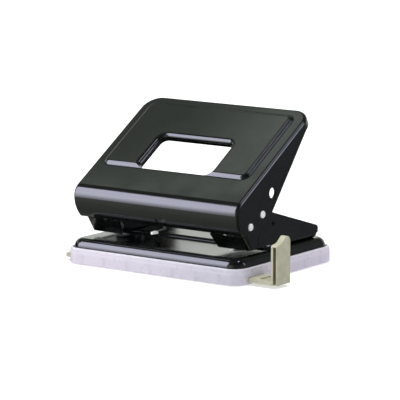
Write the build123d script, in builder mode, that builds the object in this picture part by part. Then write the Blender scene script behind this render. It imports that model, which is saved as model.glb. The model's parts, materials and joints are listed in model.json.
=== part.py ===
from build123d import *
from math import cos, pi, radians, sin, sqrt
import os

# Driving dimensions, in mm: X is across the punch, Y runs from the paper side to the rear, Z is up
SHEET = 1.2
FRAME_SHEET = 1.5
RUNNING_GAP = 0.05

# How deep a form sinks into the rest of its piece, and a length beyond everything that it cuts
JOIN = 0.2
REACH = 100.0

# Punching: two holes 80 apart, 12 from the paper's edge
HOLE_SPACING = 80.0
HOLE_TO_EDGE = 12.0
PUNCH_RADIUS = 3.0
PUNCH_Y = -19.5
STOP_Y = PUNCH_Y + HOLE_TO_EDGE

# Widths that follow from the holes
SIDE_ROOM = 16.0
HANDLE_HALF = HOLE_SPACING / 2 + SIDE_ROOM
TRAY_SIDE = 4.0

# Chip tray and the mat that it stands on
MAT_PROUD = 0.4
MAT_THICK = 0.9
MAT_MARGIN = 9.0
MAT_CORNER = 5.0
MAT_GAP = 0.1
MAT_EDGE = 0.3
TRAY_WIDTH = 2 * (HANDLE_HALF + TRAY_SIDE)
TRAY_DEPTH = 94.4
TRAY_CORNER = 9.0
TRAY_WALL = 1.6
TRAY_FLOOR = 1.2
TRAY_RIM = 9.3
TRAY_FOOT_EDGE = 0.8
TRAY_RIM_EDGE = 0.4
TRAY_BAND = 1.8
TRAY_STEP = 0.25
RIB_PITCH = 15.6
RIB_TOP = 6.0
RIB_DEPTH = 2.4
RIB_THICK = 1.0
SNAP_LOW = 7.0
SNAP_HIGH = 8.2
SNAP_PROUD = 0.5
HOOK_X = 30.0
HOOK_WIDTH = 9.0
HOOK_LOW = 7.6
HOOK_THICK = 1.2
HOOK_REACH = 3.3
HOOK_LIP = 1.0
HOOK_TIP = 10.2

# Base plate
PLATE_INSET = 2.4
PLATE_CORNER = 7.5
PLATE_TOP = 14.2
PLATE_EDGE = 4.6
PLATE_SKIRT = 6.4
PLATE_WIDTH = TRAY_WIDTH - 2 * PLATE_INSET
PLATE_DEPTH = TRAY_DEPTH - 2 * PLATE_INSET
NOTCH_DEPTH = 4.0
NOTCH_TOP = 9.4
NOTCH_GAP = 1.0

# Pivot rod and press rod
ROD_RADIUS = 2.0
ROD_HALF = HANDLE_HALF + 0.7
ROD_EDGE = 0.5
PIVOT_Y = -31.1
PIVOT_Z = 30.2
CRANK = 12.52
CRANK_ANGLE = 25.5
PRESS_ANGLE = 30.0
PRESS_Y = PIVOT_Y + CRANK * cos(radians(CRANK_ANGLE))
PRESS_Z = PIVOT_Z + CRANK * sin(radians(CRANK_ANGLE))
PUNCH_TRAVEL = CRANK * (sin(radians(CRANK_ANGLE)) + sin(radians(PRESS_ANGLE - CRANK_ANGLE)))
PRESS_GAP = 0.02

# Handle
HANDLE_SLOPE = 31.74
HANDLE_FOLD = (-42.14, 43.14)
HANDLE_LENGTH = 82.9
HANDLE_FLAT_START = 2.9
HANDLE_CORNER = 10.5
HANDLE_EDGE = 1.8
HANDLE_LIP = 5.2
LIP_CURVE = 8.0
APRON_NOSE = (-43.45, 37.6)
APRON_END = (-38.0, 26.1)
FLANGE_BOTTOM = 26.0
FLANGE_CURVE = 22.0
FLANGE_REAR_POINT = (-8.7, 37.8)
FLANGE_REAR_SLOPE = 51.4
BLANK_DROP = 22.0
PRESS_X = -0.9
PANEL_HALF = HANDLE_HALF - 6.5
PANEL_FRONT = 20.9
PANEL_REAR = HANDLE_LENGTH - 6.3
PANEL_RAISE = 1.6
PANEL_CORNER = 4.5
PANEL_SLANT = 50.0
PANEL_EDGE = 1.6
WINDOW_HALF = 24.6
WINDOW_FRONT = 21.2
WINDOW_REAR = 48.8
WINDOW_CORNER = 4.2
WINDOW_DEPTH = 2.7
WINDOW_ROLL = 2.7
SIDE_HOLE = (-10.3, 46.1)
SIDE_HOLE_RADIUS = 3.0
MARK_WIDTH = 1.6
MARK_HEIGHT = 3.6

# Frame
FLANGE_GAP = 0.7
CHEEK_HALF = HANDLE_HALF - SHEET - FLANGE_GAP
CHEEK_BOTTOM = 17.1
CHEEK_REAR = 37.5
CHEEK_TOP = 40.6
CHEEK_HEAD = [(-34.0, 34.0), (-27.5, CHEEK_TOP), (-15.0, CHEEK_TOP)]
CHEEK_TOP_FRONT = (-13.0, 36.6)
CHEEK_TOP_REAR = (CHEEK_REAR, 21.2)
CHEEK_CORNER = 2.2
CHEEK_HEEL = 1.2
HEAD_CORNER = 2.5
PIVOT_BOSS = 5.5
LEG_FOOT = (-29.2, 17.1)
LEG_LEAN = 34.4
LEG_BOTTOM = 16.6
LEG_TOP = 24.8
LEG_INNER_LOW = HOLE_SPACING / 2 - 6.8
LEG_INNER_HIGH = LEG_INNER_LOW - 2.2
LEG_OUTER = CHEEK_HALF - 5.0
LEG_BEND = 2.6
LEG_START = -3.0
LEG_STEP = -0.5
LEG_END = 11.0
RIDGE_Y = -20.3
RIDGE_WIDTH = 1.2
RIDGE_LOW = 17.5
RIDGE_HIGH = 23.7
RIDGE_PROUD = 0.2
WEB_REAR = 36.0
CRANK_SLOT_GAP = 0.4
CRANK_SLOT_SPARE = 0.5

# Brackets that carry the punches
BRACKET_INNER = HOLE_SPACING / 2 - 10.5
BRACKET_OUTER = CHEEK_HALF - FRAME_SHEET
BRACKET_SHELF = 17.4
BRACKET_SETBACK = 2.7
BRACKET_REAR = -3.0
BRACKET_BEND = 2.0
BRACKET_FRONT_TOP = 26.0
BRACKET_HEAD = [(-33.0, 34.0), (-28.0, 40.2), (-15.4, 40.2), (BRACKET_REAR, 31.5)]

# Bushes, dies, springs and punches
BORE_RADIUS = PUNCH_RADIUS + RUNNING_GAP
BUSH_RADIUS = 4.5
BUSH_COLLAR = 4.2
BUSH_TOP = 22.4
BUSH_EDGE = 0.3
DIE_RADIUS = 5.0
DIE_FLANGE = 6.5
DIE_BOTTOM = 11.0
DIE_STEP = 0.8
DIE_RELIEF = 1.2
DIE_RELIEF_GAP = 0.5
SPRING_WIRE = 0.8
SPRING_MEAN = 5.2
SPRING_HALF_TURNS = 9
SPRING_GAP = 0.03
SEAT_RADIUS = 6.0
SEAT_THICK = 1.0
HEAD_RADIUS = 4.4
HEAD_THICK = 1.4
HEAD_EDGE = 0.4
PUNCH_REST = 17.9
PUNCH_TOP = PRESS_Z - ROD_RADIUS - PRESS_GAP
CUT_DEPTH = 1.2

# Paper guide
BAR_FRONT = 8.4 - TRAY_DEPTH / 2
BAR_DEPTH = 14.4
BAR_BOTTOM = 1.8
BAR_THICK = 2.2
BAR_LEFT = -TRAY_WIDTH / 2 - 5.6
BAR_CORNER = 1.5
BAR_GAP = 0.2
DISH_DEPTH = 1.0
DISH_MARGIN = 2.5
DISH_LENGTH = 7.0
DISH_SETBACK = 2.0
GUIDE_OUTER = TRAY_WIDTH / 2 + 18.3
GUIDE_THICK = 3.65
GUIDE_INNER = GUIDE_OUTER - GUIDE_THICK
GUIDE_DEPTH = 13.3
GUIDE_REAR = BAR_FRONT + GUIDE_DEPTH
GUIDE_HEEL = 1.6
GUIDE_EDGE = 0.4
GUIDE_TOP = [
    ((BAR_FRONT, 23.4), 1.0),
    ((GUIDE_REAR - 8.3, 24.2), 4.0),
    ((GUIDE_REAR - 4.1, 27.6), 2.0),
    ((GUIDE_REAR, 27.2), 3.2),
]
GROOVE_MIDDLE = GUIDE_OUTER - 1.45
GROOVE_WIDTH = 1.9
GROOVE_DEPTH = 3.0
GROOVE_TOP = 22.6

# Centre pointer
POINTER_TIP = -45.0
POINTER_SHOULDER = -41.0
POINTER_BACK = -33.0
POINTER_LOW = 22.3
POINTER_THICK = 1.3
POINTER_WIDTH = 3.0
POINTER_NOSE = 0.5
POINTER_HUB = ROD_RADIUS + 1.2
POINTER_ARM = 2.4

# Rivets and clips
RIVET_RADIUS = 1.6
RIVET_HEAD_RADIUS = 3.0
RIVET_HEAD = 1.1
RIVET_HEAD_EDGE = 0.7
RIVET_TAIL_RADIUS = 2.5
RIVET_TAIL = 0.9
RIVET_HOLLOW = 1.6
FRAME_RIVETS = [(CHEEK_HALF - 9.7, 2.0), (CHEEK_HALF - 9.7, 29.0)]
BRACKET_RIVETS = [(-6.7, 28.6), (-26.6, 37.2)]
RIVET_FLUSH = 0.1
CLIP_RADIUS = 3.8
CLIP_THICK = 0.8
CLIP_GROOVE = 1.6
CLIP_GAP = 0.03
CLIP_X = BRACKET_INNER - 0.2 - CLIP_THICK / 2
PIVOT_CLIP_TURN = 200
PRESS_CLIP_TURN = 60

SIDES = {"left": -1, "right": 1}
RISE = sin(radians(HANDLE_SLOPE))
RUN = cos(radians(HANDLE_SLOPE))
HANDLE_PLANE = Plane(origin=(0, *HANDLE_FOLD), x_dir=(1, 0, 0), z_dir=(0, -RISE, RUN))
HANDLE_UP = Axis((0, *HANDLE_FOLD), (0, -RISE, RUN))
LEAN_Y = -sin(radians(LEG_LEAN))
LEAN_Z = cos(radians(LEG_LEAN))
LEG_FACE = Plane(origin=(0, *LEG_FOOT), x_dir=(1, 0, 0), z_dir=(0, -LEAN_Z, LEAN_Y))
LEG_SECTION = Plane(origin=(0, *LEG_FOOT), x_dir=(1, 0, 0), z_dir=(0, LEAN_Y, LEAN_Z))


def on_handle(u, lift=0.0):
    """Side-view point u along the handle's top line and lift above it."""
    return (HANDLE_FOLD[0] + u * RUN - lift * RISE, HANDLE_FOLD[1] + u * RISE + lift * RUN)


def on_leg(height, depth):
    """Side-view point at a height, depth behind the front legs' face."""
    t = (height - LEG_FOOT[1] + depth * LEAN_Y) / LEAN_Z
    return (LEG_FOOT[0] + t * LEAN_Y + depth * LEAN_Z, height)


def is_upper(edge):
    """True on the edges of the paper guide's upright above its foot."""
    return edge.center().Z > BAR_BOTTOM + BAR_THICK


def block(low, high, mode=Mode.ADD):
    """Box between two opposite corners."""
    with Locations(tuple((a + b) / 2 for a, b in zip(low, high))):
        Box(*(abs(b - a) for a, b in zip(low, high)), mode=mode)


def cut_across(point, radius):
    """Cuts a round hole right across at a side-view point."""
    with BuildSketch(Plane.YZ) as hole:
        with Locations(point):
            Circle(radius)
    extrude(hole.sketch, amount=REACH, both=True, mode=Mode.SUBTRACT)


def cut_crank_slot():
    """Cuts the arc that the press rod sweeps."""
    start = CRANK_ANGLE - PRESS_ANGLE - CRANK_SLOT_SPARE
    turn = PRESS_ANGLE + 2 * CRANK_SLOT_SPARE
    with BuildSketch(Plane.YZ) as slot:
        with BuildLine():
            swept = CenterArc((PIVOT_Y, PIVOT_Z), CRANK, start, turn)
        trace(line_width=2 * (ROD_RADIUS + CRANK_SLOT_GAP))
        with Locations(swept @ 0, swept @ 1):
            Circle(ROD_RADIUS + CRANK_SLOT_GAP)
    extrude(slot.sketch, amount=REACH, both=True, mode=Mode.SUBTRACT)


def cylinder_up(x, y, low, high, radius, mode=Mode.ADD):
    """Upright cylinder from low to high."""
    with Locations((x, y, (low + high) / 2)):
        Cylinder(radius, high - low, mode=mode)


def hole_up(x, y, radius):
    """Cuts an upright round hole right through."""
    cylinder_up(x, y, 0, REACH, radius, Mode.SUBTRACT)


def handle_blank(inset):
    """The handle's outer form shrunk by inset, left long below, with its raised panel."""
    rear = on_handle(HANDLE_LENGTH)
    flat_end = on_handle(HANDLE_FLAT_START)
    half = HANDLE_HALF - inset
    with BuildPart() as blank:
        with BuildSketch(Plane.YZ):
            with BuildLine():
                Line(rear, flat_end)
                nose = TangentArc(flat_end, APRON_NOSE, tangent=(-RUN, -RISE))
                apron = TangentArc(APRON_NOSE, APRON_END, tangent=nose % 1)
                low = Line(APRON_END, (apron @ 1) + (apron % 1) * BLANK_DROP)
                Polyline((low @ 1), on_handle(HANDLE_LENGTH, -REACH), rear)
            make_face()
            if inset:
                offset(amount=-inset, kind=Kind.INTERSECTION)
        extrude(amount=half, both=True)
        with BuildSketch(HANDLE_PLANE.offset(REACH / 2)) as plan:
            with Locations((0, HANDLE_LENGTH - inset - REACH)):
                Rectangle(2 * half, 2 * REACH)
            fillet(plan.vertices().sort_by(Axis.Y)[-2:], radius=HANDLE_CORNER - inset)
        extrude(amount=-2 * REACH, mode=Mode.INTERSECT)
        rim = [e for e in blank.edges() if is_rim(e, half, inset)]
        fillet(rim, radius=HANDLE_EDGE - inset * 0.75)
        with BuildSketch(HANDLE_PLANE.offset(-inset)):
            with Locations((PRESS_X, (PANEL_FRONT + PANEL_REAR) / 2)):
                RectangleRounded(2 * PANEL_HALF, PANEL_REAR - PANEL_FRONT, PANEL_CORNER)
        extrude(amount=PANEL_RAISE, taper=PANEL_SLANT)
        fillet(blank.faces().sort_by(HANDLE_UP)[-1].edges(), radius=PANEL_EDGE)
        fillet([e for e in blank.edges() if is_panel_foot(e, inset)], radius=PANEL_EDGE)
    return blank.part


def above_plane(point):
    """Height of a point above the handle's top plane."""
    return (point - HANDLE_PLANE.origin).dot(HANDLE_PLANE.z_dir)


def is_rim(edge, half, inset):
    """True on the edges round the handle's top, save the fold across its front."""
    c = edge.center()
    on_top = abs(above_plane(c) + inset) < 0.01
    on_side = abs(abs(c.X) - half) < 0.01
    on_nose = on_side and c.Y < PIVOT_Y and c.Z > FLANGE_BOTTOM - BLANK_DROP and edge.geom_type == GeomType.CIRCLE
    along_front = abs(edge.tangent_at(0.5).X) > 0.999 and c.Y < PIVOT_Y
    return on_nose or (on_top and not along_front)


def is_panel_foot(edge, inset):
    """True on the edges where the raised panel's slopes meet the handle's top."""
    c = edge.center()
    along = (c - HANDLE_PLANE.origin).dot(HANDLE_PLANE.y_dir)
    in_width = abs(c.X - PRESS_X) < PANEL_HALF + 0.01
    in_length = PANEL_FRONT - 0.01 < along < PANEL_REAR + 0.01
    return abs(above_plane(c) + inset) < 0.01 and in_width and in_length


def window_sketch(grow, mode=Mode.ADD):
    """Rounded window outline in the handle's top plane, grown by grow."""
    width = 2 * (WINDOW_HALF + grow)
    length = WINDOW_REAR - WINDOW_FRONT + 2 * grow
    with Locations((PRESS_X, (WINDOW_FRONT + WINDOW_REAR) / 2)):
        RectangleRounded(width, length, WINDOW_CORNER + grow, mode=mode)


def window_waste(inset):
    """Ring above the rolled edge round the window, for the outer form shrunk by inset."""
    roll = WINDOW_ROLL - inset
    with BuildPart() as ring:
        with BuildSketch(HANDLE_PLANE.offset(PANEL_RAISE - inset)):
            window_sketch(WINDOW_ROLL + 1)
            window_sketch(inset, Mode.SUBTRACT)
        extrude(amount=-roll - 1)
    rim = ring.faces().sort_by(HANDLE_UP)[-1].inner_wires()[0].edges()
    return ring.part - ring.part.fillet(roll, rim)


# Chip tray: open-topped, with ribs, slots for the paper guide, rear hooks and front snaps
inner_x = TRAY_WIDTH / 2 - TRAY_WALL
inner_y = TRAY_DEPTH / 2 - TRAY_WALL
floor_top = MAT_PROUD + TRAY_FLOOR
mat_width = TRAY_WIDTH - 2 * MAT_MARGIN
mat_depth = TRAY_DEPTH - 2 * MAT_MARGIN
with BuildPart() as chip_tray:
    with BuildSketch(Plane.XY.offset(MAT_PROUD)):
        RectangleRounded(TRAY_WIDTH, TRAY_DEPTH, TRAY_CORNER)
    extrude(amount=TRAY_RIM - MAT_PROUD)
    fillet(chip_tray.faces().sort_by(Axis.Z)[0].edges(), radius=TRAY_FOOT_EDGE)
    with BuildSketch(Plane.XY.offset(TRAY_RIM - TRAY_BAND)):
        Rectangle(2 * TRAY_WIDTH, 2 * TRAY_DEPTH)
        stepped = (TRAY_WIDTH - 2 * TRAY_STEP, TRAY_DEPTH - 2 * TRAY_STEP, TRAY_CORNER - TRAY_STEP)
        RectangleRounded(*stepped, mode=Mode.SUBTRACT)
    extrude(amount=TRAY_BAND, mode=Mode.SUBTRACT)
    fillet(chip_tray.faces().sort_by(Axis.Z)[-1].edges(), radius=TRAY_RIM_EDGE)
    with BuildSketch(Plane.XY.offset(floor_top)):
        RectangleRounded(2 * inner_x, 2 * inner_y, TRAY_CORNER - TRAY_WALL)
    extrude(amount=TRAY_RIM, mode=Mode.SUBTRACT)
    for i in range(-3, 4):
        for end in (-1, 1):
            near = (i * RIB_PITCH - RIB_THICK / 2, end * (inner_y - RIB_DEPTH), floor_top - JOIN)
            block(near, (near[0] + RIB_THICK, end * (inner_y + JOIN), RIB_TOP))
    for i in range(-1, 3):
        for side in SIDES.values():
            near = (side * (inner_x - RIB_DEPTH), i * RIB_PITCH - RIB_THICK / 2, floor_top - JOIN)
            block(near, (side * (inner_x + JOIN), near[1] + RIB_THICK, RIB_TOP))
    slot_front = (-REACH, BAR_FRONT - BAR_GAP, BAR_BOTTOM - BAR_GAP)
    slot_rear = (REACH, BAR_FRONT + BAR_DEPTH + BAR_GAP, BAR_BOTTOM + BAR_THICK + BAR_GAP)
    block(slot_front, slot_rear, Mode.SUBTRACT)
    for side in SIDES.values():
        near = side * HOOK_X - HOOK_WIDTH / 2
        far = near + HOOK_WIDTH
        hook_front = inner_y - HOOK_REACH
        block((near, -inner_y - JOIN, SNAP_LOW), (far, SNAP_PROUD - inner_y, SNAP_HIGH))
        block((near, hook_front, HOOK_LOW), (far, inner_y + JOIN, HOOK_LOW + HOOK_THICK))
        block((near, hook_front, HOOK_LOW), (far, hook_front + HOOK_LIP, HOOK_TIP))
    with BuildSketch():
        RectangleRounded(mat_width + 2 * MAT_GAP, mat_depth + 2 * MAT_GAP, MAT_CORNER + MAT_GAP)
    extrude(amount=MAT_THICK, mode=Mode.SUBTRACT)

with BuildPart() as tray_mat:
    with BuildSketch():
        RectangleRounded(mat_width, mat_depth, MAT_CORNER)
    extrude(amount=MAT_THICK)
    fillet(tray_mat.faces().sort_by(Axis.Z)[0].edges(), radius=MAT_EDGE)

# Paper guide: flat bar through the tray, with an upright whose top is curved like an S
with BuildPart() as paper_guide:
    bar_rear = BAR_FRONT + BAR_DEPTH
    bar_top = BAR_BOTTOM + BAR_THICK
    block((BAR_LEFT, BAR_FRONT, BAR_BOTTOM), (GUIDE_OUTER, bar_rear, bar_top))
    dish = GUIDE_INNER - DISH_SETBACK
    dish_low = (dish - DISH_LENGTH, BAR_FRONT + DISH_MARGIN, bar_top - DISH_DEPTH / 2)
    block(dish_low, (dish, bar_rear - DISH_MARGIN, bar_top + DISH_DEPTH / 2), Mode.SUBTRACT)
    block((GUIDE_INNER, GUIDE_REAR, 0), (GUIDE_OUTER + 1, bar_rear + 1, REACH), Mode.SUBTRACT)
    fillet(paper_guide.edges().filter_by(Axis.Z).group_by(Axis.X)[0], radius=BAR_CORNER)
    with BuildSketch(Plane.YZ.offset(GUIDE_INNER)) as upright:
        with BuildLine():
            Polyline(
                (BAR_FRONT, BAR_BOTTOM),
                *(point for point, radius in GUIDE_TOP),
                (GUIDE_REAR, BAR_BOTTOM + GUIDE_HEEL),
                (GUIDE_REAR - GUIDE_HEEL, BAR_BOTTOM),
                close=True,
            )
        make_face()
        for point, radius in GUIDE_TOP:
            fillet(upright.vertices().sort_by_distance(point)[0], radius=radius)
    extrude(amount=GUIDE_THICK)
    chamfer(paper_guide.faces().sort_by(Axis.X)[-1].edges().filter_by(is_upper), length=GUIDE_EDGE)
    groove_near = (GROOVE_MIDDLE - GROOVE_WIDTH / 2, BAR_FRONT - 1, 0)
    block(groove_near, (GROOVE_MIDDLE + GROOVE_WIDTH / 2, BAR_FRONT + GROOVE_DEPTH, GROOVE_TOP), Mode.SUBTRACT)

# Base plate: pressed sheet with a rounded rim, die holes, rivet holes and notches for the hooks
with BuildPart() as base_plate:
    with BuildSketch(Plane.XY.offset(PLATE_SKIRT)):
        RectangleRounded(PLATE_WIDTH, PLATE_DEPTH, PLATE_CORNER)
    extrude(amount=PLATE_TOP - PLATE_SKIRT)
    fillet(base_plate.faces().sort_by(Axis.Z)[-1].edges(), radius=PLATE_EDGE)
    offset(amount=-SHEET, openings=base_plate.faces().sort_by(Axis.Z)[0])
    for side in SIDES.values():
        hole_up(side * HOLE_SPACING / 2, PUNCH_Y, DIE_RADIUS)
        for x, y in FRAME_RIVETS:
            hole_up(side * x, y, RIVET_RADIUS)
        notch = side * HOOK_X - HOOK_WIDTH / 2 - NOTCH_GAP
        notch_low = (notch, PLATE_DEPTH / 2 - NOTCH_DEPTH, 0)
        block(notch_low, (notch + HOOK_WIDTH + 2 * NOTCH_GAP, REACH, NOTCH_TOP), Mode.SUBTRACT)

# Frame: one bent channel, its web on the plate as paper stop, with cheeks and front legs
with BuildPart() as frame:
    with BuildSketch(Plane.XZ.offset(-CHEEK_REAR)):
        with BuildLine():
            middle = CHEEK_HALF - FRAME_SHEET / 2
            web_z = PLATE_TOP + FRAME_SHEET / 2
            bend = CHEEK_BOTTOM - PLATE_TOP - FRAME_SHEET / 2
            corners = [(-middle, REACH), (-middle, web_z), (middle, web_z), (middle, REACH)]
            FilletPolyline(*corners, radius=bend)
        trace(line_width=FRAME_SHEET)
    extrude(amount=REACH)
    with BuildSketch(Plane.YZ) as outline:
        with BuildLine():
            Polyline(
                on_leg(CHEEK_BOTTOM, LEG_BEND),
                on_leg(LEG_TOP, LEG_BEND),
                *CHEEK_HEAD,
                CHEEK_TOP_FRONT,
                CHEEK_TOP_REAR,
                (CHEEK_REAR, CHEEK_BOTTOM),
                close=True,
            )
        make_face()
        fillet(outline.vertices().sort_by_distance(CHEEK_TOP_REAR)[0], radius=CHEEK_CORNER)
        fillet(outline.vertices().sort_by_distance((CHEEK_REAR, CHEEK_BOTTOM))[0], radius=CHEEK_HEEL)
        fillet(outline.vertices().sort_by(Axis.Y)[-2:], radius=HEAD_CORNER)
        with Locations((PIVOT_Y, PIVOT_Z)):
            Circle(PIVOT_BOSS)
        with Locations(((STOP_Y + WEB_REAR) / 2, (PLATE_TOP + CHEEK_BOTTOM + JOIN) / 2)):
            Rectangle(WEB_REAR - STOP_Y, CHEEK_BOTTOM + JOIN - PLATE_TOP)
    extrude(amount=REACH, both=True, mode=Mode.INTERSECT)
    with BuildSketch(LEG_SECTION.offset(LEG_START - 1)):
        for side in SIDES.values():
            with BuildLine():
                middle = side * (CHEEK_HALF - FRAME_SHEET / 2)
                end = side * (LEG_OUTER - 1)
                depth = FRAME_SHEET / 2
                corners = [(middle, LEG_BEND + 2), (middle, depth), (end, depth)]
                FilletPolyline(*corners, radius=LEG_BEND - depth)
            trace(line_width=FRAME_SHEET)
    extrude(amount=LEG_END - LEG_START + 1)
    with BuildSketch(LEG_FACE) as leg_outline:
        for side in SIDES.values():
            with BuildLine():
                Polyline(
                    (side * LEG_OUTER, LEG_START),
                    (side * LEG_INNER_LOW, LEG_START),
                    (side * LEG_INNER_LOW, LEG_STEP),
                    (side * LEG_INNER_HIGH, LEG_END),
                    (side * LEG_OUTER, LEG_END),
                    close=True,
                )
            make_face()
    extrude(amount=-FRAME_SHEET)
    block((-REACH, -REACH, 0), (REACH, LEG_FOOT[0] + 10, LEG_BOTTOM), Mode.SUBTRACT)
    with BuildSketch(Plane.YZ):
        with BuildLine():
            Polyline(
                (-REACH, LEG_TOP),
                on_leg(LEG_TOP, LEG_BEND),
                on_leg(LEG_TOP + 6, LEG_BEND),
                (-REACH, REACH / 2),
                close=True,
            )
        make_face()
    extrude(amount=REACH, both=True, mode=Mode.SUBTRACT)
    for side in SIDES.values():
        ridge_low = (side * (CHEEK_HALF - FRAME_SHEET), RIDGE_Y - RIDGE_WIDTH / 2, RIDGE_LOW)
        block(ridge_low, (side * (CHEEK_HALF + RIDGE_PROUD), RIDGE_Y + RIDGE_WIDTH / 2, RIDGE_HIGH))
        for x, y in FRAME_RIVETS:
            hole_up(side * x, y, RIVET_RADIUS)
        with BuildSketch(Plane.YZ.offset(side * CHEEK_HALF)):
            with Locations((PIVOT_Y, PIVOT_Z)):
                Circle(PIVOT_BOSS)
        extrude(amount=-side * FRAME_SHEET)
    cut_across((PIVOT_Y, PIVOT_Z), ROD_RADIUS + RUNNING_GAP)
    for point in BRACKET_RIVETS:
        cut_across(point, RIVET_RADIUS)
    cut_crank_slot()

# Brackets: a shelf over the paper throat between two walls hung on the rods
brackets = {}
for name, side in SIDES.items():
    with BuildPart() as bracket:
        with BuildSketch(Plane.XZ.offset(-BRACKET_REAR)):
            with BuildLine():
                near = side * (BRACKET_INNER + FRAME_SHEET / 2)
                far = side * (BRACKET_OUTER - FRAME_SHEET / 2)
                shelf = BRACKET_SHELF + FRAME_SHEET / 2
                corners = [(near, REACH), (near, shelf), (far, shelf), (far, REACH)]
                FilletPolyline(*corners, radius=BRACKET_BEND - FRAME_SHEET / 2)
            trace(line_width=FRAME_SHEET)
        extrude(amount=REACH)
        with BuildSketch(Plane.YZ) as outline:
            with BuildLine():
                Polyline(
                    on_leg(BRACKET_SHELF, BRACKET_SETBACK),
                    on_leg(BRACKET_FRONT_TOP, BRACKET_SETBACK),
                    *BRACKET_HEAD,
                    (BRACKET_REAR, BRACKET_SHELF),
                    close=True,
                )
            make_face()
            fillet(outline.vertices().sort_by(Axis.Y)[-2:], radius=HEAD_CORNER)
            with Locations((PIVOT_Y, PIVOT_Z)):
                Circle(PIVOT_BOSS - 0.5)
        extrude(amount=REACH, both=True, mode=Mode.INTERSECT)
        cut_across((PIVOT_Y, PIVOT_Z), ROD_RADIUS + RUNNING_GAP)
        cut_crank_slot()
        hole_up(side * HOLE_SPACING / 2, PUNCH_Y, BUSH_RADIUS)
        with BuildSketch(Plane.YZ.offset(side * (BRACKET_OUTER - 2 * FRAME_SHEET))):
            with Locations(*BRACKET_RIVETS):
                Circle(RIVET_RADIUS)
        extrude(amount=side * REACH, mode=Mode.SUBTRACT)
    brackets[name] = bracket

# Rivets: frame to plate from above, brackets to cheeks with hollow flush heads
with BuildPart() as frame_rivets:
    head_z = PLATE_TOP + FRAME_SHEET
    tail_z = PLATE_TOP - SHEET
    for side in SIDES.values():
        for x, y in FRAME_RIVETS:
            cylinder_up(side * x, y, tail_z - RIVET_TAIL, head_z + RIVET_HEAD, RIVET_RADIUS)
            cylinder_up(side * x, y, head_z, head_z + RIVET_HEAD, RIVET_HEAD_RADIUS)
            cylinder_up(side * x, y, tail_z - RIVET_TAIL, tail_z, RIVET_TAIL_RADIUS)
    heads = frame_rivets.faces().filter_by(Axis.Z).group_by(Axis.Z)[-1]
    fillet(heads.edges(), radius=RIVET_HEAD_EDGE)

with BuildPart() as bracket_rivets:
    for side in SIDES.values():
        start = side * (BRACKET_OUTER - FRAME_SHEET - RIVET_TAIL)
        with BuildSketch(Plane.YZ.offset(start)):
            with Locations(*BRACKET_RIVETS):
                Circle(RIVET_TAIL_RADIUS)
        extrude(amount=side * RIVET_TAIL)
        with BuildSketch(Plane.YZ.offset(start)):
            with Locations(*BRACKET_RIVETS):
                Circle(RIVET_RADIUS)
        extrude(amount=side * (2 * FRAME_SHEET + RIVET_TAIL - RIVET_FLUSH))
        with BuildSketch(Plane.YZ.offset(side * CHEEK_HALF)):
            with Locations(*BRACKET_RIVETS):
                Circle(RIVET_RADIUS * 0.6)
        extrude(amount=-side * RIVET_HOLLOW, mode=Mode.SUBTRACT)


def coil_points(x, z, half_rise):
    """Ends of the two tangent arcs that make each half turn of a spring."""
    slope = half_rise / pi
    bend = slope**2 * pi / 2
    middle = (sqrt(bend**2 + SPRING_MEAN**2 * (SPRING_MEAN**2 + half_rise**2 / 4)) - bend) / SPRING_MEAN
    for i in range(SPRING_HALF_TURNS):
        way = -1 if i % 2 else 1
        yield (x, PUNCH_Y + way * middle, z + (i + 0.5) * half_rise)
        yield (x - way * SPRING_MEAN, PUNCH_Y, z + (i + 1) * half_rise)


def least_gap(path, wire):
    """Least clear distance between a coil's turns, measured on points along it."""
    half_turn = 20
    count = SPRING_HALF_TURNS * half_turn
    points = [path @ (i / count) for i in range(count + 1)]
    pairs = ((i, j) for i in range(count + 1) for j in range(i + half_turn, count + 1))
    return min((points[i] - points[j]).length for i, j in pairs) - wire


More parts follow.
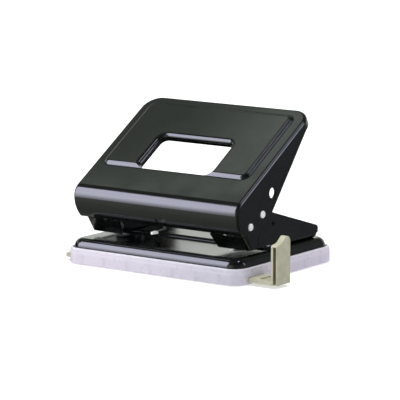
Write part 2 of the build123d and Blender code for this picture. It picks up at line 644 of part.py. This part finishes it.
# Per side: guide bush in the shelf, die in the plate, punch, spring seat and return spring
spring_low = BRACKET_SHELF + FRAME_SHEET
seat_top = PUNCH_TOP - HEAD_THICK
seat_low = seat_top - SEAT_THICK
spring_start = spring_low + SPRING_WIRE / 2 + SPRING_GAP
spring_end = seat_low - SPRING_WIRE / 2 - SPRING_GAP
half_rise = (spring_end - spring_start) / SPRING_HALF_TURNS
per_side = {}
for name, side in SIDES.items():
    x = side * HOLE_SPACING / 2
    relief_top = DIE_BOTTOM + DIE_RELIEF
    with BuildPart() as bush:
        cylinder_up(x, PUNCH_Y, BRACKET_SHELF, BUSH_TOP, BUSH_COLLAR)
        cylinder_up(x, PUNCH_Y, BRACKET_SHELF, spring_low, BUSH_RADIUS)
        hole_up(x, PUNCH_Y, BORE_RADIUS)
        rims = bush.edges().filter_by(GeomType.CIRCLE).group_by(Axis.Z)[-1]
        chamfer(rims, length=BUSH_EDGE)
    with BuildPart() as die:
        cylinder_up(x, PUNCH_Y, DIE_BOTTOM, PLATE_TOP, DIE_RADIUS)
        cylinder_up(x, PUNCH_Y, DIE_BOTTOM + DIE_STEP, PLATE_TOP - SHEET, DIE_FLANGE)
        hole_up(x, PUNCH_Y, BORE_RADIUS)
        cylinder_up(x, PUNCH_Y, 0, relief_top, BORE_RADIUS + DIE_RELIEF_GAP, Mode.SUBTRACT)
    with BuildPart() as punch:
        cylinder_up(x, PUNCH_Y, PUNCH_REST, PUNCH_TOP, PUNCH_RADIUS)
        cylinder_up(x, PUNCH_Y, seat_top, PUNCH_TOP, HEAD_RADIUS)
        chamfer(punch.edges().filter_by(GeomType.CIRCLE).group_by(Axis.Z)[-1], length=HEAD_EDGE)
        with BuildSketch(Plane.YZ.offset(x)):
            with Locations((PUNCH_Y, PUNCH_REST)):
                Polygon((-PUNCH_RADIUS, 0), (PUNCH_RADIUS, 0), (0, CUT_DEPTH), align=None)
        extrude(amount=PUNCH_RADIUS, both=True, mode=Mode.SUBTRACT)
    with BuildPart() as seat:
        cylinder_up(x, PUNCH_Y, seat_low, seat_top, SEAT_RADIUS)
        hole_up(x, PUNCH_Y, PUNCH_RADIUS)
    with BuildPart() as spring:
        place = Vector(x + SPRING_MEAN, PUNCH_Y, spring_start)
        heading = Vector(0, SPRING_MEAN, half_rise / pi)
        wire_end = Plane(origin=place, z_dir=heading)
        with BuildLine() as coil:
            for point in coil_points(x, spring_start, half_rise):
                arc = TangentArc(place, point, tangent=heading)
                place = arc @ 1
                heading = arc % 1
        with BuildSketch(wire_end):
            Circle(SPRING_WIRE / 2)
        sweep()
    print("least gap in spring", name, round(least_gap(coil.wires()[0], SPRING_WIRE), 2))
    per_side[name] = {
        "guide_bush": bush,
        "die": die,
        "punch": punch,
        "spring_seat": seat,
        "return_spring": spring,
    }


def rod(point, grooves):
    """Rod right across with a domed end each side and grooves for its clips."""
    with BuildPart() as made:
        with BuildSketch(Plane.YZ.offset(-ROD_HALF)):
            with Locations(point):
                Circle(ROD_RADIUS)
        extrude(amount=2 * ROD_HALF)
        fillet(made.edges().filter_by(GeomType.CIRCLE), radius=ROD_EDGE)
        for side in SIDES.values():
            with BuildSketch(Plane.YZ.offset(side * grooves)):
                with Locations(point):
                    Circle(ROD_RADIUS + 1)
                    Circle(CLIP_GROOVE, mode=Mode.SUBTRACT)
            extrude(amount=CLIP_THICK / 2 + CLIP_GAP, both=True, mode=Mode.SUBTRACT)
    return made


def clips(point, turn):
    """Two open retaining clips that sit in a rod's grooves, opening at an angle."""
    with BuildPart() as made:
        for side in SIDES.values():
            with BuildSketch(Plane.YZ.offset(side * CLIP_X)):
                with Locations(Location((*point, 0), (0, 0, turn))):
                    Circle(CLIP_RADIUS)
                    Circle(CLIP_GROOVE + CLIP_GAP, mode=Mode.SUBTRACT)
                    with Locations((CLIP_RADIUS, 0)):
                        Rectangle(2 * CLIP_RADIUS, 1.6 * CLIP_GROOVE, mode=Mode.SUBTRACT)
            extrude(amount=CLIP_THICK / 2, both=True)
    return made


# Centre pointer: a hub on the pivot rod with an arm down to a tongue that marks the paper's middle
with BuildPart() as centre_pointer:
    with BuildSketch(Plane.YZ):
        with Locations((PIVOT_Y, PIVOT_Z)):
            Circle(POINTER_HUB)
        with BuildLine():
            Polyline(
                (PIVOT_Y - POINTER_ARM, PIVOT_Z),
                (PIVOT_Y + POINTER_ARM / 2, PIVOT_Z),
                (POINTER_BACK + POINTER_ARM, POINTER_LOW),
                (POINTER_BACK, POINTER_LOW),
                close=True,
            )
        make_face()
    extrude(amount=POINTER_ARM / 2, both=True)
    with BuildSketch(Plane.XY.offset(POINTER_LOW)):
        with BuildLine():
            Polyline(
                (-POINTER_WIDTH / 2, POINTER_BACK + POINTER_ARM),
                (-POINTER_WIDTH / 2, POINTER_SHOULDER),
                (-POINTER_NOSE, POINTER_TIP),
                (POINTER_NOSE, POINTER_TIP),
                (POINTER_WIDTH / 2, POINTER_SHOULDER),
                (POINTER_WIDTH / 2, POINTER_BACK + POINTER_ARM),
                close=True,
            )
        make_face()
    extrude(amount=POINTER_THICK)
    cut_across((PIVOT_Y, PIVOT_Z), ROD_RADIUS)

pivot_rod = rod((PIVOT_Y, PIVOT_Z), CLIP_X)
press_rod = rod((PRESS_Y, PRESS_Z), CLIP_X)
pivot_clips = clips((PIVOT_Y, PIVOT_Z), PIVOT_CLIP_TURN)
press_clips = clips((PRESS_Y, PRESS_Z), PRESS_CLIP_TURN)

# Handle: pressed shell, cut to its side outline, with window, side holes and centre mark
handle_outer = handle_blank(0)
handle_inner = handle_blank(SHEET)
with BuildPart() as handle:
    add(handle_inner)
    with BuildSketch(HANDLE_PLANE.offset(-WINDOW_DEPTH)):
        window_sketch(SHEET)
    extrude(amount=REACH, mode=Mode.SUBTRACT)
    add(window_waste(SHEET), mode=Mode.SUBTRACT)
    hollow = handle.part
    add(handle_outer, mode=Mode.REPLACE)
    with BuildSketch(HANDLE_PLANE):
        window_sketch(0)
    extrude(amount=REACH / 2, both=True, mode=Mode.SUBTRACT)
    add(window_waste(0), mode=Mode.SUBTRACT)
    add(hollow, mode=Mode.SUBTRACT)
    with BuildSketch(Plane.YZ) as keep:
        with BuildLine():
            rise = FLANGE_REAR_POINT[1] - FLANGE_BOTTOM
            slope = radians(FLANGE_REAR_SLOPE)
            knee = (FLANGE_REAR_POINT[0] - rise * cos(slope) / sin(slope), FLANGE_BOTTOM)
            lip = IntersectingLine(
                start=knee,
                direction=(cos(slope), sin(slope)),
                other=Line(on_handle(0, -HANDLE_LIP), on_handle(REACH, -HANDLE_LIP), mode=Mode.PRIVATE),
                mode=Mode.PRIVATE,
            )
            Polyline(
                (-REACH, FLANGE_BOTTOM),
                knee,
                lip @ 1,
                on_handle(REACH, -HANDLE_LIP),
                on_handle(REACH, REACH / 2),
                (-REACH, REACH),
                close=True,
            )
        make_face()
        fillet(keep.vertices().sort_by_distance((*knee, 0))[0], radius=FLANGE_CURVE)
        fillet(keep.vertices().sort_by_distance(lip @ 1)[0], radius=LIP_CURVE)
    extrude(amount=REACH, both=True, mode=Mode.INTERSECT)
    cut_across((PIVOT_Y, PIVOT_Z), ROD_RADIUS + RUNNING_GAP)
    cut_across((PRESS_Y, PRESS_Z), ROD_RADIUS)
    cut_across(SIDE_HOLE, SIDE_HOLE_RADIUS)
    with BuildSketch(Plane.XZ.offset(-PIVOT_Y)):
        with Locations((0, FLANGE_BOTTOM)):
            SlotCenterToCenter(2 * MARK_HEIGHT, MARK_WIDTH, rotation=90)
    extrude(amount=REACH, mode=Mode.SUBTRACT)

named = {
    "chip_tray": chip_tray,
    "tray_mat": tray_mat,
    "paper_guide": paper_guide,
    "base_plate": base_plate,
    "frame": frame,
    "frame_rivets": frame_rivets,
    "bracket_rivets": bracket_rivets,
    "pivot_rod": pivot_rod,
    "press_rod": press_rod,
    "pivot_clips": pivot_clips,
    "press_clips": press_clips,
    "centre_pointer": centre_pointer,
    "handle": handle,
}
for side, bracket in brackets.items():
    named["bracket_" + side] = bracket
    for kind, piece in per_side[side].items():
        named[kind + "_" + side] = piece

os.makedirs("parts", exist_ok=True)
for name, piece in named.items():
    piece.part.label = name
    export_step(piece.part, f"parts/{name}.step")
print(len(named), "nodes, punch travel", round(PUNCH_TRAVEL, 3), "mm")
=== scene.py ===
import json
from math import cos, radians, sin

import bpy
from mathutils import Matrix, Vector


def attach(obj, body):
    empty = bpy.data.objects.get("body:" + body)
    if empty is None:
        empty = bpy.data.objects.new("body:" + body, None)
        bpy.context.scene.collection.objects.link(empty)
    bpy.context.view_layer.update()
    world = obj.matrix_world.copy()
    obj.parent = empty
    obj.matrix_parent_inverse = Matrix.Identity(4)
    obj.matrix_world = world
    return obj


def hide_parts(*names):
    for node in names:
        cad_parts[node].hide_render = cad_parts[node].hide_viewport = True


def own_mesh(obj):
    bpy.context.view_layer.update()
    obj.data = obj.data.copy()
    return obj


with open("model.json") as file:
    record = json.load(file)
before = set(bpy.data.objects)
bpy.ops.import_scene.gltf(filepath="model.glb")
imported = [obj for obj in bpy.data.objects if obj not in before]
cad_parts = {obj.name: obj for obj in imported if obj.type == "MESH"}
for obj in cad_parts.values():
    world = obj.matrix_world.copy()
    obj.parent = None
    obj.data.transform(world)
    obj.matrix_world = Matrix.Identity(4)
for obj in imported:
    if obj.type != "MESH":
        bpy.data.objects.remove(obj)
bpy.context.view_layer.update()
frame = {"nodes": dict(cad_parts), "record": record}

# Camera, fitted to the photograph's edges
VIEW_AZIMUTH = 35.942
VIEW_ELEVATION = 9.775
VIEW_DISTANCE = 1.5
VIEW_TARGET = Vector((-0.00006, 0.0, 0.03511))
VIEW_END = 20
FOCAL_PIXELS = 2688.8
PHOTO_PIXELS = 400
SENSOR_MM = 36.0

# Black enamel and the dust on it: colours, the dust's features to the metre and detail, where it shows
PAINT_BLACK = (0.0035, 0.0045, 0.0038)
PAINT_DUST = (0.020, 0.021, 0.020)
DUST_GRAIN = (2600, 6)
DUST_RANGE = (0.62, 0.80)

# Sheared front edge of the frame's web: depth, half length, foot, head, softness, added roughness
CUT_Y = -0.0075
CUT_HALF = 0.0480
CUT_FOOT = 0.0143
CUT_HEAD = 0.0172
CUT_SOFT = 0.0002
CUT_DULL = 0.75

# Milky tray: its clouds and, mixed with them, the tones of its rim and of the wall below
TRAY_CLOUD = (90, (0.605, 0.560, 0.690), (0.655, 0.612, 0.730))
TRAY_CLOUDY = 0.5
TRAY_RIM = (0.725, 0.685, 0.805)
TRAY_WALL = (0.635, 0.585, 0.715)

# Ribs inside the tray: pitch, half width, softness, height, middle and reach along Y, colour, its share
RIB_PITCH = 0.0156
RIB_HALF = 0.0008
RIB_SOFT = 0.0010
RIB_TOP = (0.0056, 0.0066)
RIB_MIDDLE = 0.0095
RIB_REACH = (0.0325, 0.0335)
RIB_COLOUR = (0.52, 0.50, 0.60)
RIB_SHADE = 0.4

# Painted shade and light: the tray is darker around one corner and a little lighter beyond it: the
# corner, the reach, the tones there and beyond
SHADED_CORNER = (0.060, -0.047)
CORNER_SHADE_REACH = 0.100
CORNER_SHADE_AND_LIGHT_TONES = ((0.86, 0.89, 0.86), (1.07, 1.06, 1.04))

# Paper guide: its clouds, and painted brown shade in its creases by reach in metres and openness
GUIDE_CLOUD = (220, (0.39, 0.38, 0.275), (0.455, 0.445, 0.335))
PAINTED_CREASE_SHADE = (0.235, 0.205, 0.115)
CREASE_REACH = 0.004
CREASE_OPEN = (0.80, 0.30)
CREASE_SAMPLES = 8

# Clouds of the rubber, of both plated steels and of the floor's paint
RUBBER_CLOUD = (400, (0.015, 0.015, 0.015), (0.035, 0.034, 0.033))
BRIGHT_CLOUD = (500, (0.70, 0.70, 0.71), (0.84, 0.84, 0.86))
ROD_CLOUD = (500, (0.86, 0.86, 0.87), (0.94, 0.94, 0.96))
FLOOR_CLOUD = (40, (0.600, 0.600, 0.597), (0.615, 0.615, 0.612))

# Pointer, whose white tip fades between two depths
POINTER_BLACK = (0.004, 0.004, 0.004)
TIP_WHITE = (0.92, 0.92, 0.91)
TIP_PAINT = (-0.0412, -0.0406)

# Uneven shine of each finish: features to the metre, lowest and highest roughness
PAINT_SHINE = (60, 0.10, 0.16)
TRAY_SHINE = (300, 0.26, 0.36)
GUIDE_SHINE = (500, 0.42, 0.56)
RUBBER_SHINE = (900, 0.65, 0.85)
BRIGHT_SHINE = (1500, 0.22, 0.34)
ROD_SHINE = (1500, 0.46, 0.56)
POINTER_SHINE = (900, 0.30, 0.40)

# Fine relief of each finish: features to the metre, their detail and their depth in metres
PAINT_RELIEF = (700, 2, 0.000012)
TRAY_RELIEF = (900, 2, 0.000008)
GUIDE_RELIEF = (3200, 4, 0.00003)
RUBBER_RELIEF = (2500, 4, 0.00004)
STEEL_RELIEF = (4000, 3, 0.000008)

# World light seen in the gloss paint: radiance by the sine of the height above the horizon
SKY = [(-1.0, 0.10), (-0.5, 0.56), (-0.12, 1.0), (0.06, 1.25), (0.32, 1.05), (0.52, 0.14), (1.0, 0.14)]

# Its part on the right, by the direction's X: where it starts, where it is full and its share of light
SKY_RIGHT = (0.10, 0.50, 0.20)

# Tints of the world light on the left and on the right
SKY_TINTS = ((0.96, 1.0, 0.94), (0.90, 0.97, 1.06))

# Lamp overhead that reflections don't see: azimuth, elevation, watts per square metre, spread
SUN = (0, 89, 4.2, 60)

# Glowing panels that only reflections see: azimuth, elevation, distance, width, height
LILAC = (0.80, 0.80, 1.0)
EDGE_PANEL = (109, 66, 0.9, 0.30, 0.15)
EDGE_GLOW = 13
SIDE_PANEL = (121, 20, 0.9, 0.28, 0.46)
SIDE_GLOW = 6.5
SOFT_FEATHER = 0.05

# Panel in front, with the lengths over which it fades at its sides, its head and its foot
FRONT_PANEL = (-44, 17, 0.9, 0.56, 1.22)
FRONT_GLOW = 10.5
FRONT_FEATHER = 0.06
FRONT_HEAD = 0.16
FRONT_FADE = 0.66

# Panel that the handle's top mirrors: dim, brighter towards its right side and along the fold
GREENISH = (0.865, 1.0, 0.905)
TOP_PANEL = (-108.5, 53.8, 0.708, 0.26, 0.26)
TOP_DIM = 0.24
TOP_RIGHT = (-0.030, 0.030, 0.92)
TOP_RIGHT_SLANT = 0.35
TOP_FOLD = (0.004, 0.020, 1.25)
TOP_FOLD_SLANT = 0.63
TOP_END = (0.036, 0.048)

# Black cards on the left that only reflections see: azimuth, elevation, distance, width, height
REAR_CARD = (-139.4, 13.3, 0.5, 0.046, 0.30)
LEFT_CARD = (-97, -6, 0.9, 0.96, 0.50)

# Floor, whose own light keeps the shadows on it pale
FLOOR_WIDTH = 12.0
FLOOR_GLOW = 0.5


def set_inputs(node, **values):
    """Sets sockets whose names are the keys, with spaces for underscores."""
    for key, value in values.items():
        node.inputs[key.replace("_", " ")].default_value = value


def dress(tree, surface, **sockets):
    """Links sockets to the shader's inputs whose names are the keys, with spaces for underscores."""
    for key, socket in sockets.items():
        tree.links.new(socket, surface.inputs[key.replace("_", " ")])


def shader(name):
    """New material, its node tree and its Principled shader."""
    made = bpy.data.materials.new(name)
    made.use_nodes = True
    return made, made.node_tree, made.node_tree.nodes["Principled BSDF"]


def coordinates(tree, kind="Object"):
    """X, Y and Z of a texture coordinate."""
    place = tree.nodes.new("ShaderNodeTexCoord")
    parts = tree.nodes.new("ShaderNodeSeparateXYZ")
    tree.links.new(place.outputs[kind], parts.inputs["Vector"])
    return [parts.outputs[axis] for axis in "XYZ"]


def noise(tree, scale, detail=3):
    """Noise in the object's own coordinates, scale features to the metre."""
    place = tree.nodes.new("ShaderNodeTexCoord")
    node = tree.nodes.new("ShaderNodeTexNoise")
    set_inputs(node, Scale=scale, Detail=detail)
    tree.links.new(place.outputs["Object"], node.inputs["Vector"])
    return node.outputs["Fac"]


def fade(tree, value, start, end, low, high, kind="SMOOTHSTEP"):
    """Maps a value from one range to another."""
    node = tree.nodes.new("ShaderNodeMapRange")
    node.interpolation_type = kind
    for name, number in (("From Min", start), ("From Max", end), ("To Min", low), ("To Max", high)):
        node.inputs[name].default_value = number
    tree.links.new(value, node.inputs["Value"])
    return node.outputs["Result"]


def spread(tree, value, low, high, start=0.35, end=0.65):
    """Maps a noise value to a range, in straight proportion."""
    return fade(tree, value, start, end, low, high, "LINEAR")


def arithmetic(tree, operation, *values):
    """Math node on sockets or plain numbers."""
    node = tree.nodes.new("ShaderNodeMath")
    node.operation = operation
    for socket, value in zip(node.inputs, values):
        if isinstance(value, (int, float)):
            socket.default_value = value
        else:
            tree.links.new(value, socket)
    return node.outputs["Value"]


def mix(tree, factor, first, second, blend="MIX"):
    """Mixes two colours by a factor; each of the three is a socket or a plain value."""
    node = tree.nodes.new("ShaderNodeMix")
    node.data_type = "RGBA"
    node.blend_type = blend
    for name, value in (("Factor", factor), ("A", first), ("B", second)):
        if isinstance(value, tuple):
            node.inputs[name].default_value = (*value, 1)
        elif isinstance(value, (int, float)):
            node.inputs[name].default_value = value
        else:
            tree.links.new(value, node.inputs[name])
    return node.outputs["Result"]


def clouds(tree, scale, first, second):
    """Colour that varies between two in soft patches."""
    return mix(tree, spread(tree, noise(tree, scale), 0, 1), first, second)


def shine(tree, scale, low, high):
    """Roughness that varies in soft patches."""
    return spread(tree, noise(tree, scale), low, high)


def relief(tree, scale, detail, depth):
    """Bump of fine noise, of a depth in metres."""
    node = tree.nodes.new("ShaderNodeBump")
    set_inputs(node, Strength=1, Distance=depth)
    tree.links.new(noise(tree, scale, detail), node.inputs["Height"])
    return node.outputs["Normal"]


def sheared_edge(tree):
    """1 on the front edge of the frame's web and 0 everywhere else."""
    x, y, z = coordinates(tree)
    beside = arithmetic(tree, "ABSOLUTE", x)
    before = arithmetic(tree, "ABSOLUTE", arithmetic(tree, "SUBTRACT", y, CUT_Y))
    cut = fade(tree, before, CUT_SOFT, 2 * CUT_SOFT, 1, 0)
    for value, start, end in (
        (beside, CUT_HALF + CUT_SOFT, CUT_HALF),
        (z, CUT_FOOT, CUT_FOOT + CUT_SOFT),
        (z, CUT_HEAD + CUT_SOFT, CUT_HEAD),
    ):
        cut = arithmetic(tree, "MULTIPLY", cut, fade(tree, value, start, end, 0, 1))
    return cut


def black_gloss_paint():
    """Gloss black enamel: orange peel, uneven shine, a trace of dust and one dull sheared edge."""
    made, tree, paint = shader("black_gloss_paint")
    set_inputs(paint, IOR=1.5)
    dust = spread(tree, noise(tree, *DUST_GRAIN), 0, 1, *DUST_RANGE)
    dull = fade(tree, sheared_edge(tree), 0, 1, 0, CUT_DULL)
    dress(
        tree,
        paint,
        Base_Color=mix(tree, dust, PAINT_BLACK, PAINT_DUST),
        Roughness=arithmetic(tree, "ADD", shine(tree, *PAINT_SHINE), dull),
        Normal=relief(tree, *PAINT_RELIEF),
    )
    return made


def rib_bands(tree, value):
    """1 at each multiple of the ribs' pitch and 0 between them."""
    beside = arithmetic(tree, "PINGPONG", value, RIB_PITCH / 2)
    return fade(tree, beside, RIB_HALF, RIB_HALF + RIB_SOFT, 1, 0)


def distance(tree, x, y, spot):
    """Distance from a spot in plan."""
    squares = []
    for value, centre in zip((x, y), spot):
        away = arithmetic(tree, "SUBTRACT", value, centre)
        squares.append(arithmetic(tree, "MULTIPLY", away, away))
    return arithmetic(tree, "SQRT", arithmetic(tree, "ADD", *squares))


def tray_plastic():
    """Milky flexible plastic with a soft sheen, through which faint ribs show below its rim."""
    made, tree, plastic = shader("tray_plastic")
    set_inputs(plastic, IOR=1.49, Subsurface_Weight=0.35, Subsurface_Scale=0.004)
    set_inputs(plastic, Subsurface_Radius=(1.0, 0.95, 1.0))
    x, y, z = coordinates(tree)
    reach = arithmetic(tree, "ABSOLUTE", arithmetic(tree, "SUBTRACT", y, RIB_MIDDLE))
    side = arithmetic(tree, "MULTIPLY", rib_bands(tree, y), fade(tree, reach, *RIB_REACH, 1, 0))
    below = fade(tree, z, *RIB_TOP, 1, 0)
    rib = arithmetic(tree, "MULTIPLY", below, arithmetic(tree, "MAXIMUM", rib_bands(tree, x), side))
    body = mix(tree, TRAY_CLOUDY, clouds(tree, *TRAY_CLOUD), mix(tree, below, TRAY_RIM, TRAY_WALL))
    ribbed = mix(tree, arithmetic(tree, "MULTIPLY", rib, RIB_SHADE), body, RIB_COLOUR)
    # Painted shade darkens the tray around one corner, and painted light brightens it further off
    beyond = fade(tree, distance(tree, x, y, SHADED_CORNER), 0, CORNER_SHADE_REACH, 0, 1)
    dress(
        tree,
        plastic,
        Base_Color=mix(tree, 1, ribbed, mix(tree, beyond, *CORNER_SHADE_AND_LIGHT_TONES), "MULTIPLY"),
        Roughness=shine(tree, *TRAY_SHINE),
        Normal=relief(tree, *TRAY_RELIEF),
    )
    return made


def guide_plastic():
    """Beige moulded plastic with a fine eroded grain and painted brown shade in its creases."""
    made, tree, plastic = shader("guide_plastic")
    set_inputs(plastic, IOR=1.47)
    # Painted shade: an ambient occlusion mask darkens the guide's creases and recesses towards a brown
    # tone
    crease = tree.nodes.new("ShaderNodeAmbientOcclusion")
    crease.only_local = True
    crease.samples = CREASE_SAMPLES
    set_inputs(crease, Distance=CREASE_REACH)
    crease_shade = fade(tree, crease.outputs["AO"], *CREASE_OPEN, 0, 1)
    dress(
        tree,
        plastic,
        Base_Color=mix(tree, crease_shade, clouds(tree, *GUIDE_CLOUD), PAINTED_CREASE_SHADE),
        Roughness=shine(tree, *GUIDE_SHINE),
        Normal=relief(tree, *GUIDE_RELIEF),
    )
    return made


def pointer_plastic():
    """Black moulded plastic whose tip is painted white."""
    made, tree, plastic = shader("pointer_plastic")
    x, y, z = coordinates(tree)
    white = fade(tree, y, *TIP_PAINT, 1, 0)
    dress(
        tree,
        plastic,
        Base_Color=mix(tree, white, POINTER_BLACK, TIP_WHITE),
        Roughness=shine(tree, *POINTER_SHINE),
    )
    return made


def cloudy_finish(name, cloud, patches, bumps, metallic=0.0):
    """Finish whose colour and shine vary in soft patches: dusty rubber or plated steel."""
    made, tree, surface = shader(name)
    set_inputs(surface, Metallic=metallic)
    dress(
        tree,
        surface,
        Base_Color=clouds(tree, *cloud),
        Roughness=shine(tree, *patches),
        Normal=relief(tree, *bumps),
    )
    return made


def dress_nodes():
    """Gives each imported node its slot's material."""
    finishes = {
        "black_gloss_paint": black_gloss_paint(),
        "tray_plastic": tray_plastic(),
        "guide_plastic": guide_plastic(),
        "mat_rubber": cloudy_finish("mat_rubber", RUBBER_CLOUD, RUBBER_SHINE, RUBBER_RELIEF),
        "bright_steel": cloudy_finish("bright_steel", BRIGHT_CLOUD, BRIGHT_SHINE, STEEL_RELIEF, 0.75),
        "rod_steel": cloudy_finish("rod_steel", ROD_CLOUD, ROD_SHINE, STEEL_RELIEF, 0.20),
        "pointer_plastic": pointer_plastic(),
    }
    for part in frame["record"]["subparts"]:
        for place in frame["nodes"][part["node"]].material_slots:
            place.material = finishes[part["material_slot"]]
    return finishes


def return_springs(finishes):
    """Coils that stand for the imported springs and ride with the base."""
    for name, side in (("left", -1), ("right", 1)):
        mesh = frame["nodes"]["return_spring_" + name].data.copy()
        coil = bpy.data.objects.new("coil_" + name, mesh)
        bpy.context.scene.collection.objects.link(coil)
        coil.material_slots[0].material = finishes["bright_steel"]
        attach(coil, "base")
        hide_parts("return_spring_" + name)
        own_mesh(coil)


def plane(name, width, height):
    """Flat rectangle in the scene, centred on its own origin."""
    x = width / 2
    y = height / 2
    mesh = bpy.data.meshes.new(name)
    mesh.from_pydata([(-x, -y, 0), (x, -y, 0), (x, y, 0), (-x, y, 0)], [], [(0, 1, 2, 3)])
    made = bpy.data.objects.new(name, mesh)
    bpy.context.scene.collection.objects.link(made)
    return made


def direction(azimuth, elevation):
    """Unit vector at an azimuth, counted from the front towards +X, and an elevation, in degrees."""
    a = radians(azimuth)
    e = radians(elevation)
    return Vector((sin(a) * cos(e), -cos(a) * cos(e), sin(e)))


def face_punch(thing, azimuth, elevation, away):
    """Puts a thing at a direction and distance, its back or lens axis towards the punch."""
    towards = direction(azimuth, elevation)
    thing.location = VIEW_TARGET + towards * away
    thing.rotation_euler = towards.to_track_quat("Z", "Y").to_euler()


def reflected_plane(name, spot):
    """Rectangle at a spot that only reflections see."""
    azimuth, elevation, away, width, height = spot
    made = plane(name, width, height)
    face_punch(made, azimuth, elevation, away)
    made.visible_camera = False
    made.visible_diffuse = False
    made.visible_shadow = False
    return made


def glowing_panel(name, spot, colour, strength):
    """Panel that only reflections see; strength makes its radiance from its own coordinates."""
    panel = reflected_plane(name, spot)
    made, tree, principled = shader(name)
    tree.nodes.remove(principled)
    x, y, z = coordinates(tree)
    glow = tree.nodes.new("ShaderNodeEmission")
    set_inputs(glow, Color=(*colour, 1))
    dress(tree, glow, Strength=strength(tree, x, y))
    clear = tree.nodes.new("ShaderNodeBsdfTransparent")
    both = tree.nodes.new("ShaderNodeAddShader")
    tree.links.new(glow.outputs["Emission"], both.inputs[0])
    tree.links.new(clear.outputs["BSDF"], both.inputs[1])
    dress(tree, tree.nodes["Material Output"], Surface=both.outputs["Shader"])
    panel.data.materials.append(made)


def black_card(name, spot):
    """Black card that only reflections see."""
    card = reflected_plane(name, spot)
    made, tree, surface = shader(name)
    set_inputs(surface, Base_Color=(0, 0, 0, 1), Roughness=1.0, Specular_IOR_Level=0.0)
    card.data.materials.append(made)


def front_glow(tree, x, y):
    """Even light with soft sides that dies away towards the panel's foot."""
    half_width, half_height = (length / 2 for length in FRONT_PANEL[3:])
    across = arithmetic(tree, "ABSOLUTE", x)
    sides = fade(tree, across, half_width - FRONT_FEATHER, half_width, FRONT_GLOW, 0)
    head = fade(tree, y, half_height - FRONT_HEAD, half_height, 1, 0)
    foot = fade(tree, y, -half_height, FRONT_FADE - half_height, 0, 1)
    return arithmetic(tree, "MULTIPLY", sides, arithmetic(tree, "MULTIPLY", head, foot))


def soft_glow(spot, glow):
    """Strength of a panel whose light is even, with soft edges all round."""
    half_width, half_height = (length / 2 for length in spot[3:])

    def strength(tree, x, y):
        across = arithmetic(tree, "ABSOLUTE", x)
        along = arithmetic(tree, "ABSOLUTE", y)
        sides = fade(tree, across, half_width - SOFT_FEATHER, half_width, glow, 0)
        ends = fade(tree, along, half_height - SOFT_FEATHER, half_height, 1, 0)
        return arithmetic(tree, "MULTIPLY", sides, ends)

    return strength


def top_glow(tree, x, y):
    """Dim light that is brighter to the right and along the fold, and ends beyond the fold."""
    across = arithmetic(tree, "MULTIPLY_ADD", x, TOP_RIGHT_SLANT, y)
    along = arithmetic(tree, "MULTIPLY_ADD", y, TOP_FOLD_SLANT, x)
    low, high, rise = TOP_RIGHT
    right = fade(tree, across, low, high, TOP_DIM, TOP_DIM + rise)
    low, high, level = TOP_FOLD
    fold = fade(tree, along, low, high, 0, level)
    end = fade(tree, along, *TOP_END, 1, 0)
    return arithmetic(tree, "MULTIPLY", end, arithmetic(tree, "MAXIMUM", right, fold))


def sky():
    """White world that is dimmer overhead, below and on the right."""
    world = bpy.data.worlds.new("studio")
    bpy.context.scene.world = world
    world.use_nodes = True
    tree = world.node_tree
    x, y, z = coordinates(tree, "Generated")
    ramp = tree.nodes.new("ShaderNodeValToRGB")
    while len(ramp.color_ramp.elements) < len(SKY):
        ramp.color_ramp.elements.new(0.5)
    for element, (level, value) in zip(ramp.color_ramp.elements, SKY):
        element.position = (level + 1) / 2
        element.color = (value, value, value, 1)
    dress(tree, ramp, Fac=fade(tree, z, -1, 1, 0, 1, "LINEAR"))
    start, full, share = SKY_RIGHT
    tone = mix(tree, fade(tree, x, start, full, 0, 1), *SKY_TINTS)
    dress(
        tree,
        tree.nodes["Background"],
        Color=mix(tree, 1, ramp.outputs["Color"], tone, "MULTIPLY"),
        Strength=fade(tree, x, start, full, 1, share),
    )


def lamp():
    """Broad lamp overhead that reflections don't see."""
    azimuth, elevation, strength, angle = SUN
    data = bpy.data.lights.new("sun", "SUN")
    data.energy = strength
    data.angle = radians(angle)
    sun = bpy.data.objects.new("sun", data)
    bpy.context.scene.collection.objects.link(sun)
    face_punch(sun, azimuth, elevation, VIEW_DISTANCE)
    sun.visible_glossy = False


def pale_floor():
    """Floor that glows a little and that reflections don't see."""
    floor = plane("floor", FLOOR_WIDTH, FLOOR_WIDTH)
    made, tree, surface = shader("floor_paint")
    set_inputs(surface, Roughness=0.9, Specular_IOR_Level=0.1)
    set_inputs(surface, Emission_Color=(1, 1, 1, 1), Emission_Strength=FLOOR_GLOW)
    dress(tree, surface, Base_Color=clouds(tree, *FLOOR_CLOUD))
    floor.data.materials.append(made)
    floor.visible_glossy = False


def studio():
    """World, lamp, panels, cards and floor around the punch."""
    sky()
    glowing_panel("front_panel", FRONT_PANEL, LILAC, front_glow)
    glowing_panel("edge_panel", EDGE_PANEL, LILAC, soft_glow(EDGE_PANEL, EDGE_GLOW))
    glowing_panel("side_panel", SIDE_PANEL, LILAC, soft_glow(SIDE_PANEL, SIDE_GLOW))
    glowing_panel("top_panel", TOP_PANEL, GREENISH, top_glow)
    lamp()
    black_card("rear_card", REAR_CARD)
    black_card("left_card", LEFT_CARD)
    pale_floor()


def camera():
    """Camera at the photograph's place, level, with a long lens."""
    scene = bpy.context.scene
    data = bpy.data.cameras.new("camera")
    data.sensor_width = SENSOR_MM
    data.lens = FOCAL_PIXELS * SENSOR_MM / PHOTO_PIXELS
    data.clip_end = VIEW_END
    eye = bpy.data.objects.new("camera", data)
    scene.collection.objects.link(eye)
    face_punch(eye, VIEW_AZIMUTH, VIEW_ELEVATION, VIEW_DISTANCE)
    scene.camera = eye
    scene.view_settings.view_transform = "Standard"


return_springs(dress_nodes())
studio()
camera()
